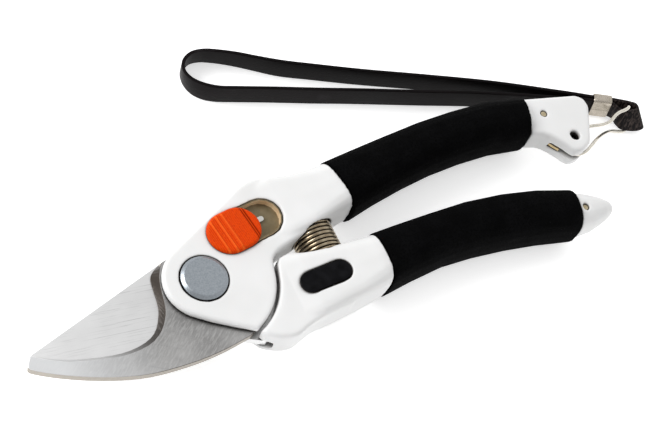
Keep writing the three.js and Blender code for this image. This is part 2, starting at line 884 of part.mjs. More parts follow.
// The strap stands on edge. Its ends meet inside the crimp; one run makes the small loop round
// the bail and the other the wrist loop. Each row holds the middle of the band, then how far
// its top edge leans along X and Y.
const STRAP_ROUTE = [
  [156.4, 18.6, 4.7, -1.0, 0.6],
  [158.8, 17.15, 5.0, -1.0, 0.6],
  [162.2, 14.8, 5.1, -1.0, 1.2],
  [165.4, 12.5, 5.1, -1.0, 1.9],
  [167.2, 10.9, 5.0, -1.0, 2.4],
  [167.1, 9.7, 4.8, -1.0, 2.4],
  [165.0, 9.4, 4.8, -0.7, 2.2],
  [162.4, 9.9, 5.1, -0.4, 1.8],
  [160.3, 10.8, 5.1, -0.4, 1.3],
  [159.3, 12.5, 5.1, -0.7, 0.9],
  [159.0, 14.4, 5.1, -1.0, 0.6],
  [158.1, 15.95, 5.05, -1.0, 0.6],
  [152.6, 19.25, 4.15, -1.0, 0.6],
  [145.0, 22.2, 4.0, -0.3, 0.3],
  [135.0, 26.4, 3.95, 0, 0],
  [115.6, 33.7, 3.95, 0, 0],
  [98.3, 39.4, 3.95, 0, 0],
  [75.0, 47.2, 3.95, 0, 0],
  [64.7, 50.5, 3.95, 0, 0],
  [50.0, 55.4, 3.95, 0, 0],
  [40.0, 58.6, 3.95, 0, 0],
  [34.2, 60.6, 3.95, 0, 0],
  [30.4, 63.0, 3.95, -0.3, 0.2],
  [28.1, 65.9, 3.95, -0.5, 0.2],
  [27.4, 69.3, 3.95, -0.6, 0],
  [28.7, 72.7, 3.95, -0.4, -0.2],
  [31.7, 74.7, 3.95, -0.1, -0.4],
  [35.6, 74.7, 3.95, 0, -0.5],
  [40.1, 73.1, 3.95, 0, -0.5],
  [45.6, 70.4, 3.95, 0, -0.4],
  [50.7, 67.4, 3.95, 0, -0.3],
  [58.0, 63.2, 3.95, 0, 0],
  [67.3, 59.0, 3.95, 0, 0],
  [81.2, 52.9, 3.95, 0, 0],
  [99.3, 45.5, 3.95, 0, 0],
  [121.8, 36.0, 3.95, 0, 0],
  [140.1, 27.2, 3.95, 0, 0],
  [147.5, 23.5, 4.0, -0.5, 0.3],
  [153.3, 20.45, 4.15, -1.0, 0.6],
  [155.7, 19.0, 4.6, -1.0, 0.6],
];
const STRAP_STEPS = 80;

const CRIMP_CENTRE = new THREE.Vector3(155.7, 18.2, 4.8);
const CRIMP_TURN = -31;
const CRIMP_PITCH = -8;
const CRIMP_LENGTH = 5.9;
const CRIMP_WALL = 0.3;
const CRIMP_ROOM = [3.1, 8.2]; // width across the two runs, and height

function route(points, type = 'centripetal') {
  const line = points.map(([x, y, z]) => new THREE.Vector3(x, y, z));
  return new THREE.CatmullRomCurve3(line, false, type);
}

function strapWire() {
  const section = new THREE.Shape(arc(0, 0, WIRE / 2, 0, 315, 7));
  const options = { steps: 78, bevelEnabled: false, extrudePath: route(BAIL_ROUTE) };
  return solid(new THREE.ExtrudeGeometry(section, options));
}

// Corners of the band's section, as shares of its half thickness and half height.
const STRAP_SECTION = [
  [1, -0.9],
  [1, 0.9],
  [0.5, 1],
  [-0.5, 1],
  [-1, 0.9],
  [-1, -0.9],
  [-0.5, -1],
  [0.5, -1],
];

// The strap's section is a flat band along the route.
function strap() {
  const path = route(STRAP_ROUTE);
  const tops = route(STRAP_ROUTE.map(([, , , x, y]) => [x, y, 0]), 'catmullrom');
  const rings = [];
  for (let i = 0; i <= STRAP_STEPS; i++) {
    const at = path.getPoint(i / STRAP_STEPS);
    const along = path.getTangent(i / STRAP_STEPS);
    const side = new THREE.Vector3(-along.y, along.x, 0).normalize();
    const up = tops.getPoint(i / STRAP_STEPS);
    up.z = Math.sqrt((STRAP_HEIGHT / 2) ** 2 - up.lengthSq());
    rings.push(
      STRAP_SECTION.map(([across, height]) => {
        const corner = at.clone().addScaledVector(side, (across * STRAP_THICKNESS) / 2);
        return corner.addScaledVector(up, height);
      }),
    );
  }
  return skin(rings);
}

function strapCrimp() {
  const [across, height] = CRIMP_ROOM;
  const outer = new THREE.BoxGeometry(CRIMP_LENGTH, across + 2 * CRIMP_WALL, height + 2 * CRIMP_WALL);
  const room = new THREE.BoxGeometry(CRIMP_LENGTH + 2, across, height);
  return solid(outer)
    .subtract(solid(room))
    .rotate([0, CRIMP_PITCH, CRIMP_TURN])
    .translate(CRIMP_CENTRE.toArray());
}

// The hollow rivet that the wire turns on. Its lower end is closed.
function bailTube() {
  return drum(BAIL_PIN.x, BAIL_PIN.y, BAIL_TUBE_RADIUS, [6, 13], 20)
    .subtract(drum(BAIL_PIN.x, BAIL_PIN.y, BAIL_TUBE_RADIUS - 0.5, [7, 14], 20));
}

// ---------------------------------------------------------------- the assembly

const upperHalf = [
  named('counter_blade', counterBlade(), STAINLESS),
  named('upper_handle', upperHandle(), WHITE_PLASTIC),
  named('upper_grip', sleeve(UPPER_GRIP), FOAM_RUBBER),
  named('upper_core_strip', upperCoreStrip(), CHROMATE_STEEL),
  named('upper_core_pin', corePin(UPPER_PIN, [5.2, 14.0]), CHROMATE_STEEL),
  named('lock_tray', lockTray(), CHROMATE_STEEL),
  named('upper_spring_seat', springSeat(SPRING_Y[1] + GAP, 1), ZINC_STEEL),
  named('return_spring', returnSpring(), SPRING_STEEL),
  named('bail_tube', bailTube(), ZINC_STEEL),
];

const pivot = [
  named('pivot_bolt', pivotBolt(), ZINC_STEEL),
  named('pivot_nut', pivotNut(), ZINC_STEEL),
  named('pivot_spring_washer', springWasher(), ZINC_STEEL),
  named('pivot_bush', ring(BOLT_RADIUS + GAP, BUSH_RADIUS, [CUTTER_Z[0], HOOK_Z[1]]), BRONZE),
  named('pivot_front_washer', ring(BOLT_RADIUS + GAP, 6.6, FRONT_WASHER_Z), ZINC_STEEL),
];

const lock = [
  named('lock_button', lockButton(), ORANGE_PLASTIC),
  named('lock_slider_plate', lockSlider(), ZINC_STEEL),
  named('lock_pin', drum(BUTTON_REST.x, BUTTON_REST.y, LOCK_PIN_RADIUS, LOCK_PIN_Z, 20), ZINC_STEEL),
];

const lowerHalf = [
  named('cutting_blade', cuttingBlade(), STAINLESS),
  named('lower_handle', lowerHandle(), WHITE_PLASTIC),
  named('lower_grip', sleeve(LOWER_GRIP), FOAM_RUBBER),
  named('lower_core_strip', coreStrip(LOWER_STRIP, LOWER_CORE_Z, LOWER_PIN), CHROMATE_STEEL),
  named('lower_core_pin', corePin(LOWER_PIN, [3.6, 15.2]), CHROMATE_STEEL),
  named('lower_spring_seat', springSeat(SPRING_Y[0] - GAP, -1), ZINC_STEEL),
  named('name_badge', nameBadge(), BLACK_GLOSS),
];

const wristStrap = [
  named('strap_wire', strapWire(), STAINLESS),
  named('strap_crimp', strapCrimp(), NICKEL),
  named('strap', strap(), LEATHERETTE),
];

const pruner = new THREE.Group();
pruner.add(...upperHalf, ...pivot, ...lock, ...lowerHalf, ...wristStrap);

export default pruner;
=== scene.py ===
# A bypass pruner with white plastic handles, foam grips, a thumb lock and a wrist strap.
# Lengths are written in millimetres and scaled by MM; the strap's and the lamp's are in metres.
import math

import bmesh
import bpy
from mathutils import Matrix, Vector


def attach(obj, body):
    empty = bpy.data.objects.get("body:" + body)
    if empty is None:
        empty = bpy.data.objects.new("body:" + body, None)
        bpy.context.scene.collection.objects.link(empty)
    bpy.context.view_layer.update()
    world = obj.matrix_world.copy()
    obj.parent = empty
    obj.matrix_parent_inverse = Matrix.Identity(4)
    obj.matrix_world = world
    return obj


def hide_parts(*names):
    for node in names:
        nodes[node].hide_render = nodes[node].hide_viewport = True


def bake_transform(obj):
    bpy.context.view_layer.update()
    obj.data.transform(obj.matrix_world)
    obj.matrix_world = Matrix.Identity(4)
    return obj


MM = 0.001

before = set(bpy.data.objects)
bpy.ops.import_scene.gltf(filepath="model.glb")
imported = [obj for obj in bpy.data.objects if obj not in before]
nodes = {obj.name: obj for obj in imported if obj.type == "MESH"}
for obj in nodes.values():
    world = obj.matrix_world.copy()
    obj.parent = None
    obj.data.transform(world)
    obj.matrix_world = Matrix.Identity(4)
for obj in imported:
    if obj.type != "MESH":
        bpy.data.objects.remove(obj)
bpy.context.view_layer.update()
scene = bpy.context.scene

# ---------------------------------------------------------------- camera


def add_camera(eye, target, roll, lens):
    data = bpy.data.cameras.new("camera")
    data.lens = lens
    data.sensor_width = 36
    data.clip_start = 0.01
    camera = bpy.data.objects.new("camera", data)
    scene.collection.objects.link(camera)
    eye, target = Vector(eye) * MM, Vector(target) * MM
    aim = (target - eye).to_track_quat("-Z", "Y").to_matrix()
    turn = aim @ Matrix.Rotation(math.radians(roll), 3, "Z")
    camera.matrix_world = Matrix.Translation(eye) @ turn.to_4x4()
    scene.camera = camera


add_camera(eye=(-152.2, -150.0, 393.9), target=(52.1, 12.0, 0.0), roll=28.5, lens=85)

# ---------------------------------------------------------------- node graphs


class Graph:
    """Builds one material's nodes. A value that isn't a socket sets the input itself."""

    def __init__(self, name):
        self.material = bpy.data.materials.new(name)
        self.material.use_nodes = True
        self.tree = self.material.node_tree
        self.shader = self.tree.nodes["Principled BSDF"]
        self.place = self.node("ShaderNodeTexCoord").outputs["Object"]

    def node(self, kind, settings=None, **inputs):
        made = self.tree.nodes.new(kind)
        for key, value in (settings or {}).items():
            setattr(made, key, value)
        for key, value in inputs.items():
            self.put(made.inputs[key.replace("_", " ")], value)
        return made

    def put(self, socket, value):
        if isinstance(value, bpy.types.NodeSocket):
            self.tree.links.new(value, socket)
        elif isinstance(value, tuple) and socket.type == "RGBA":
            socket.default_value = (*value, 1.0)
        else:
            socket.default_value = value

    def shade(self, **inputs):
        for key, value in inputs.items():
            self.put(self.shader.inputs[key.replace("_", " ")], value)
        return self.material

    def stretched(self, scale, turn=(0, 0, 0)):
        """Places scaled along each axis, in cells a metre, after a turn in degrees."""
        angles = tuple(math.radians(a) for a in turn)
        turned = self.node("ShaderNodeMapping", Vector=self.place, Rotation=angles)
        return self.node("ShaderNodeMapping", Vector=turned.outputs[0], Scale=scale).outputs[0]

    def noise(self, scale, place=None, detail=3.0, roughness=0.55):
        made = self.node(
            "ShaderNodeTexNoise",
            Vector=place or self.place,
            Scale=scale,
            Detail=detail,
            Roughness=roughness,
        )
        return made.outputs[0]

    def cells(self, scale):
        return self.node("ShaderNodeTexVoronoi", Vector=self.place, Scale=scale).outputs["Distance"]

    def span(self, value, low, high, to_low=0.0, to_high=1.0):
        """value taken from low..high to to_low..to_high, and held there."""
        made = self.node("ShaderNodeMapRange", {"clamp": True})
        for index, number in enumerate((value, low, high, to_low, to_high)):
            self.put(made.inputs[index], number)
        return made.outputs[0]

    def mix(self, factor, a, b):
        made = self.node("ShaderNodeMix", {"data_type": "RGBA"})
        self.put(made.inputs[0], factor)
        self.put(made.inputs[6], a)
        self.put(made.inputs[7], b)
        return made.outputs[2]

    def math(self, operation, a, b=0.0):
        made = self.node("ShaderNodeMath", {"operation": operation})
        for index, value in enumerate((a, b)):
            self.put(made.inputs[index], value)
        return made.outputs[0]

    def bump(self, height, distance, strength=1.0, under=None):
        made = self.node("ShaderNodeBump", Height=height, Distance=distance * MM)
        made.inputs["Strength"].default_value = strength
        if under is not None:
            self.put(made.inputs["Normal"], under)
        return made.outputs[0]

    def axis(self, which):
        return self.node("ShaderNodeSeparateXYZ", Vector=self.place).outputs[which]

    def hollow(self, reach):
        """How open the surface is: 1 in the open, near 0 deep in a gap."""
        made = self.node("ShaderNodeAmbientOcclusion", {"samples": 8}, Distance=reach * MM)
        return made.outputs["AO"]

    def facing_up(self):
        """How far the surface looks up, from 0 on a side to 1 on top."""
        normal = self.node("ShaderNodeTexCoord").outputs["Normal"]
        return self.node("ShaderNodeSeparateXYZ", Vector=normal).outputs[2]


# ---------------------------------------------------------------- materials


def white_plastic():
    g = Graph("white_plastic")
    blotch = g.noise(60, detail=2)
    grain = g.noise(5200, detail=2)
    swirl = g.noise(240, detail=3)
    colour = g.mix(g.span(blotch, 0.35, 0.65), (0.715, 0.715, 0.71), (0.755, 0.755, 0.755))
    # Painted shade: the white turns dark brown in gaps and creases narrower than about 2 mm.
    colour = g.mix(g.span(g.hollow(2.0), 0.36, 0.86), (0.03, 0.018, 0.009), colour)
    rough = g.span(swirl, 0.3, 0.7, 0.34, 0.46)
    bumps = g.bump(grain, 0.012, 0.5, g.bump(swirl, 0.05, 0.25))
    return g.shade(
        Base_Color=colour,
        Roughness=rough,
        Normal=bumps,
        Subsurface_Weight=0.06,
        Subsurface_Radius=(0.0012, 0.001, 0.0009),
        Subsurface_Scale=1.0,
        Specular_IOR_Level=0.45,
    )


def foam():
    g = Graph("foam_rubber")
    pores = g.cells(1500)
    fine = g.noise(3600, detail=3)
    patches = g.noise(160, detail=3)
    hollow = g.span(pores, 0.1, 0.6)
    height = g.math("ADD", g.math("MULTIPLY", hollow, 0.7), g.math("MULTIPLY", fine, 0.6))
    shade = g.mix(g.span(patches, 0.35, 0.65), (0.0009, 0.0009, 0.001), (0.0024, 0.0024, 0.0027))
    # Painted shade: the pore pits are darker than the cell walls round them.
    colour = g.mix(g.span(hollow, 0.35, 0.9), (0.0008, 0.0008, 0.0009), shade)
    return g.shade(
        Base_Color=colour,
        Roughness=g.span(fine, 0.3, 0.7, 0.82, 1.0),
        Normal=g.bump(height, 0.16, 0.8),
        Specular_IOR_Level=0.04,
    )


def ground_steel(name, light, dark, turn, scratch, rough):
    """Steel with grinding lines along X once turned, and painted shade in its narrow gaps."""
    g = Graph(name)
    lines = g.noise(1.0, g.stretched((60, 2600, 300), (0, 0, turn)), detail=4, roughness=0.7)
    fine = g.noise(1.0, g.stretched((160, 9000, 900), (0, 0, turn)), detail=2)
    cloud = g.noise(55, detail=3)
    deep = g.span(lines, 0.56, 0.72)
    tone = g.mix(g.span(cloud, 0.3, 0.7), dark, light)
    tone = g.mix(g.math("MULTIPLY", deep, scratch), tone, (0.2, 0.2, 0.2))
    # Painted shade: the steel turns near black in gaps narrower than 0.7 mm.
    tone = g.mix(g.span(g.hollow(0.7), 0.25, 0.75), (0.03, 0.025, 0.02), tone)
    bumps = g.bump(g.math("ADD", lines, g.math("MULTIPLY", fine, 0.5)), 0.02, 0.35)
    return g, tone, g.span(fine, 0.3, 0.7, rough - 0.05, rough + 0.07), bumps


def cutter_steel():
    g, tone, rough, bumps = ground_steel(
        "cutter_steel", (0.82, 0.82, 0.82), (0.70, 0.70, 0.70), 7, 0.45, 0.36
    )
    return g.shade(Base_Color=tone, Metallic=1.0, Roughness=rough, Normal=bumps)


def hook_steel():
    g, tone, rough, bumps = ground_steel(
        "hook_steel", (0.44, 0.435, 0.43), (0.24, 0.237, 0.233), 30, 0.35, 0.38
    )
    grain = g.noise(1.0, g.stretched((500, 2600, 900), (0, 0, -40)), detail=3)
    tone = g.mix(g.span(grain, 0.42, 0.68, 0.0, 0.45), tone, (0.58, 0.575, 0.57))
    # Painted reflection: the face is painted lighter towards the tip.
    tip_reflection = g.span(g.axis(0), -0.046, -0.018, 0.85, 0.0)
    tone = g.mix(tip_reflection, tone, (0.80, 0.81, 0.82))
    up = g.facing_up()
    # Painted shade: faces that look sideways, such as the rim, are painted a dull brownish grey.
    tone = g.mix(g.span(up, 0.6, 0.2), tone, (0.36, 0.33, 0.29))
    # Painted shade: sloping bevel faces are painted near black, fading out between 20 and 34 mm
    # towards the tip.
    bevel_shade = g.math("MULTIPLY", g.span(up, 0.2, 0.35), g.span(up, 0.99, 0.93))
    bevel_shade = g.math("MULTIPLY", bevel_shade, g.span(g.axis(0), -0.034, -0.020))
    tone = g.mix(bevel_shade, tone, (0.05, 0.042, 0.036))
    return g.shade(Base_Color=tone, Metallic=1.0, Roughness=rough, Normal=bumps)


def zinc():
    g = Graph("zinc_steel")
    x, y = g.axis(0), g.axis(1)
    radius = g.math("SQRT", g.math("ADD", g.math("POWER", x, 2.0), g.math("POWER", y, 2.0)))
    rings = g.math("SINE", g.math("MULTIPLY", radius, 16000.0))
    speck = g.noise(2600, detail=4)
    tone = g.mix(g.span(speck, 0.35, 0.65), (0.28, 0.31, 0.34), (0.37, 0.40, 0.43))
    bumps = g.bump(speck, 0.012, 0.3, g.bump(rings, 0.005, 0.4))
    return g.shade(
        Base_Color=tone, Metallic=1.0, Roughness=g.span(speck, 0.3, 0.7, 0.28, 0.42), Normal=bumps
    )


def plain_metal(name, light, dark, rough, scale=400, gap_shade=0.0):
    """Plated or drawn metal. Unless its last argument is 0, shade is painted darker into gaps
    narrower than that many millimetres.
    """
    g = Graph(name)
    cloud = g.noise(scale, detail=4)
    fine = g.noise(scale * 9, detail=2)
    tone = g.mix(g.span(cloud, 0.35, 0.65), dark, light)
    # Painted shade: near black in narrow gaps.
    if gap_shade:
        tone = g.mix(g.span(g.hollow(gap_shade), 0.3, 0.8), (0.02, 0.013, 0.007), tone)
    return g.shade(
        Base_Color=tone,
        Metallic=1.0,
        Roughness=g.span(fine, 0.3, 0.7, rough - 0.06, rough + 0.08),
        Normal=g.bump(g.math("ADD", cloud, g.math("MULTIPLY", fine, 0.4)), 0.02, 0.3),
    )


def tray_metal():
    """Yellow chromate, with painted light and shade: its floor, which looks up, is painted dark
    olive as shade, its walls bright brass as lit.
    """
    g = Graph("tray_chromate")
    cloud = g.noise(260, detail=4)
    fine = g.noise(3000, detail=2)
    floor = g.mix(g.span(cloud, 0.35, 0.65), (0.125, 0.098, 0.050), (0.19, 0.15, 0.085))
    wall = g.mix(g.span(cloud, 0.35, 0.65), (0.90, 0.64, 0.38), (0.98, 0.78, 0.52))
    return g.shade(
        Base_Color=g.mix(g.span(g.facing_up(), 0.3, 0.9), wall, floor),
        Metallic=0.4,
        Roughness=g.span(fine, 0.3, 0.7, 0.4, 0.55),
        Normal=g.bump(fine, 0.02, 0.4),
    )


# The thumb button's place, and its ridges and grooves along it from its middle.
BUTTON_AT = Vector((14.129, 10.655, 0))
BUTTON_DEGREES = 8.5
BUTTON_TURN = math.radians(BUTTON_DEGREES)
BUTTON_MIDDLE = BUTTON_AT.x * math.cos(BUTTON_TURN) + BUTTON_AT.y * math.sin(BUTTON_TURN)
BUTTON_RIDGES = (-5.1, -2.8, -0.9)
BUTTON_GROOVES = (5.0, 5.7)
RIB_PITCH = 0.56


def orange_plastic():
    g = Graph("orange_plastic")
    grain = g.noise(2600, detail=4, roughness=0.7)
    blotch = g.noise(700, detail=3)
    colour = g.mix(g.span(grain, 0.35, 0.65), (0.46, 0.018, 0.0), (0.70, 0.06, 0.0))
    colour = g.mix(g.span(blotch, 0.4, 0.7, 0.0, 0.4), colour, (0.64, 0.035, 0.0))
    lengthwise = g.stretched((1, 1, 1), (0, 0, -BUTTON_DEGREES))
    along = g.node("ShaderNodeSeparateXYZ", Vector=lengthwise).outputs[0]
    # Painted highlight: lighter on the crests of the fine ribs.
    wave = g.math("SINE", g.math("MULTIPLY", along, 2 * math.pi / (RIB_PITCH * MM)))
    colour = g.mix(g.span(wave, -1.0, 1.0, 0.0, 0.35), colour, (0.80, 0.10, 0.004))
    # Painted highlights along the ridges and painted shade along the grooves.
    bands = (
        (BUTTON_RIDGES, 0.05, 0.5, 0.5, (0.95, 0.17, 0.02)),
        (BUTTON_GROOVES, 0.1, 0.3, 0.8, (0.22, 0.01, 0.0)),
    )
    for places, core, fade, strength, painted_tone in bands:
        for at in places:
            away = g.math("ABSOLUTE", g.math("SUBTRACT", along, (BUTTON_MIDDLE + at) * MM))
            colour = g.mix(g.span(away, core * MM, fade * MM, strength, 0.0), colour, painted_tone)
    return g.shade(
        Base_Color=colour,
        Roughness=g.span(blotch, 0.3, 0.7, 0.42, 0.58),
        Normal=g.bump(grain, 0.06, 0.6),
        Specular_IOR_Level=0.06,
    )


def badge_black():
    g = Graph("badge_black")
    cloud = g.noise(300, detail=3)
    fine = g.noise(4200, detail=2)
    colour = g.mix(g.span(cloud, 0.35, 0.65), (0.0035, 0.0035, 0.004), (0.0077, 0.0077, 0.0088))
    return g.shade(
        Base_Color=colour,
        Roughness=g.span(fine, 0.3, 0.7, 0.17, 0.32),
        Normal=g.bump(fine, 0.008, 0.4),
        Specular_IOR_Level=0.03,
    )


def leatherette():
    g = Graph("leatherette")
    pores = g.cells(1300)
    creases = g.noise(1.0, g.stretched((160, 160, 1100)), detail=4, roughness=0.7)
    patches = g.noise(34, detail=3)
    height = g.math("ADD", g.span(pores, 0.0, 0.6), g.math("MULTIPLY", creases, 0.8))
    colour = g.mix(g.span(patches, 0.35, 0.65), (0.002, 0.0012, 0.0014), (0.0048, 0.003, 0.0034))
    # Painted sheen: where the patches run high, the black is painted light grey, as highlights.
    colour = g.mix(g.span(patches, 0.60, 0.72, 0.0, 0.5), colour, (0.05, 0.047, 0.052))
    # Painted sheen: grey streaks from 150 mm along X onward, on the loop.
    streaks = g.noise(1.0, g.stretched((1500, 1500, 120)), detail=2)
    loop_sheen = g.math("MULTIPLY", g.span(streaks, 0.45, 0.7), g.span(g.axis(0), 0.150, 0.160))
    colour = g.mix(loop_sheen, colour, (0.06, 0.045, 0.04))
    return g.shade(
        Base_Color=colour,
        Roughness=g.span(patches, 0.3, 0.7, 0.36, 0.52),
        Normal=g.bump(height, 0.05, 0.45),
        Specular_IOR_Level=0.07,
    )


WHITE = white_plastic()
FOAM = foam()
CUTTER = cutter_steel()
HOOK = hook_steel()
ZINC = zinc()
TRAY = tray_metal()
ORANGE = orange_plastic()
LEATHER = leatherette()
# The spring steel gets painted shade in gaps narrower than 1.2 mm.
SPRING = plain_metal("spring_steel", (0.46, 0.39, 0.28), (0.26, 0.20, 0.13), 0.18, gap_shade=1.2)
CHROMATE = plain_metal("core_chromate", (0.62, 0.49, 0.28), (0.42, 0.32, 0.17), 0.4)
BRONZE = plain_metal("bush_bronze", (0.60, 0.44, 0.24), (0.42, 0.30, 0.16), 0.4)
NICKEL = plain_metal("crimp_nickel", (0.50, 0.45, 0.385), (0.40, 0.36, 0.30), 0.26)
WIRE = plain_metal("wire_steel", (0.78, 0.74, 0.66), (0.60, 0.57, 0.50), 0.22, scale=700)
BRIGHT = plain_metal("bright_steel", (0.66, 0.65, 0.61), (0.50, 0.49, 0.46), 0.3)
PIN = plain_metal("pin_plating", (0.62, 0.54, 0.38), (0.44, 0.37, 0.24), 0.45)
RIVET = plain_metal("dark_rivet", (0.02, 0.019, 0.018), (0.01, 0.0095, 0.009), 0.5)
BLACK = badge_black()

# ---------------------------------------------------------------- mesh helpers

SHARP_ANGLE = 28  # degrees between two faces, above which their edge is sharp


def mesh_object(name, vertices, faces):
    mesh = bpy.data.meshes.new(name)
    mesh.from_pydata([Vector(v) * MM for v in vertices], [], faces)
    mesh.validate()
    obj = bpy.data.objects.new(name, mesh)
    scene.collection.objects.link(obj)
    return obj


def copy_of(node, name):
    """A new object with the node's mesh, its split corners welded and its flats merged."""
    mesh = bpy.data.meshes.new(name)
    work = bmesh.new()
    work.from_mesh(nodes[node].data)
    bmesh.ops.remove_doubles(work, verts=work.verts, dist=0.002 * MM)
    bmesh.ops.dissolve_limit(
        work, angle_limit=math.radians(0.6), verts=work.verts, edges=work.edges
    )
    work.to_mesh(mesh)
    work.free()
    obj = bpy.data.objects.new(name, mesh)
    scene.collection.objects.link(obj)
    return obj


def outward(obj):
    """Joins points that coincide and turns every face outward."""
    work = bmesh.new()
    work.from_mesh(obj.data)
    bmesh.ops.remove_doubles(work, verts=work.verts, dist=0.001 * MM)
    bmesh.ops.recalc_face_normals(work, faces=work.faces)
    work.to_mesh(obj.data)
    work.free()


def settle(obj):
    """Applies the object's modifiers."""
    bpy.context.view_layer.update()
    held = obj.evaluated_get(bpy.context.evaluated_depsgraph_get())
    mesh = bpy.data.meshes.new_from_object(held)
    obj.modifiers.clear()
    obj.data = mesh


def smooth_shade(obj, angle=None):
    mesh = obj.data
    mesh.polygons.foreach_set("use_smooth", [True] * len(mesh.polygons))
    if angle is not None:
        mesh.set_sharp_from_angle(angle=math.radians(angle))


def dress(obj, body, slot, material, *replaced):
    """Gives a new piece its material and body, and hides the CAD nodes that it stands for. Its slot
    is not used.
    """
    obj.data.materials.clear()
    obj.data.materials.append(material)
    if body:
        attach(obj, body)
    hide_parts(*replaced)
    return obj


def moulded(node, name, body, slot, material, voxel, rounds):
    """The node's shape with every edge rounded, as moulded plastic or cut foam has."""
    obj = copy_of(node, name)
    remesh = obj.modifiers.new("remesh", "REMESH")
    remesh.mode = "VOXEL"
    remesh.voxel_size = voxel * MM
    soften = obj.modifiers.new("soften", "SMOOTH")
    soften.factor = 0.5
    soften.iterations = rounds
    settle(obj)
    smooth_shade(obj)
    return dress(obj, body, slot, material, node)


def edged(node, name, body, slot, material, width, segments=2, angle=SHARP_ANGLE):
    """The node's shape with its sharp edges broken."""
    obj = copy_of(node, name)
    smooth_shade(obj, SHARP_ANGLE)
    bevel = obj.modifiers.new("bevel", "BEVEL")
    bevel.width = width * MM
    bevel.segments = segments
    bevel.limit_method = "ANGLE"
    bevel.angle_limit = math.radians(angle)
    bevel.miter_outer = "MITER_ARC"
    bevel.harden_normals = True
    settle(obj)
    return dress(obj, body, slot, material, node)


def tube(name, centres, radius, sides):
    """A round wire with flat ends along a list of points."""
    vertices, faces = [], []
    count = len(centres)
    normal = None
    for i, at in enumerate(centres):
        along = (centres[min(i + 1, count - 1)] - centres[max(i - 1, 0)]).normalized()
        if normal is None:
            normal = along.orthogonal().normalized()
        normal = (normal - along * normal.dot(along)).normalized()
        side = along.cross(normal)
        for k in range(sides):
            angle = 2 * math.pi * k / sides
            vertices.append(at + radius * (math.cos(angle) * normal + math.sin(angle) * side))
    for i in range(count - 1):
        for k in range(sides):
            a, b = i * sides + k, i * sides + (k + 1) % sides
            faces.append((a, b, b + sides, a + sides))
    faces.append(tuple(reversed(range(sides))))
    faces.append(tuple(range((count - 1) * sides, count * sides)))
    obj = mesh_object(name, vertices, faces)
    smooth_shade(obj, 50)
    return obj


def spline(rows, steps, even=False):
    """Points on the Catmull-Rom curve through the rows, ends included.

    It is centripetal, or uniform when even is set, as rows that repeat need.
    """
    points = [Vector(row) for row in rows]
    points = [2 * points[0] - points[1], *points, 2 * points[-1] - points[-2]]
    last = len(rows) - 1
    curve = []
    for i in range(steps + 1):
        place = last * i / steps
        k = min(int(place), last - 1)
        p0, p1, p2, p3 = points[k : k + 4]
        spans = (p1 - p0, p2 - p1, p3 - p2)
        d0, d1, d2 = (1.0 if even else math.sqrt(span.length) for span in spans)
        t1 = ((p1 - p0) / d0 - (p2 - p0) / (d0 + d1) + (p2 - p1) / d1) * d1
        t2 = ((p2 - p1) / d1 - (p3 - p1) / (d1 + d2) + (p3 - p2) / d2) * d1
        s = place - k
        curve.append(
            (2 * s**3 - 3 * s**2 + 1) * p1
            + (s**3 - 2 * s**2 + s) * t1
            + (3 * s**2 - 2 * s**3) * p2
            + (s**3 - s**2) * t2
        )
    return curve


def rounded(width, height, radii, arc):
    """A rounded rectangle's outline, with arc steps round each corner."""
    points = []
    for corner in range(4):
        sx, sy = ((1, 1), (-1, 1), (-1, -1), (1, -1))[corner]
        for k in range(arc + 1):
            angle = math.radians(90 * (corner + k / arc))
            x = sx * (width / 2 - radii[0]) + radii[0] * math.cos(angle)
            points.append((x, sy * (height / 2 - radii[1]) + radii[1] * math.sin(angle)))
    return points


# ---------------------------------------------------------------- wrist strap

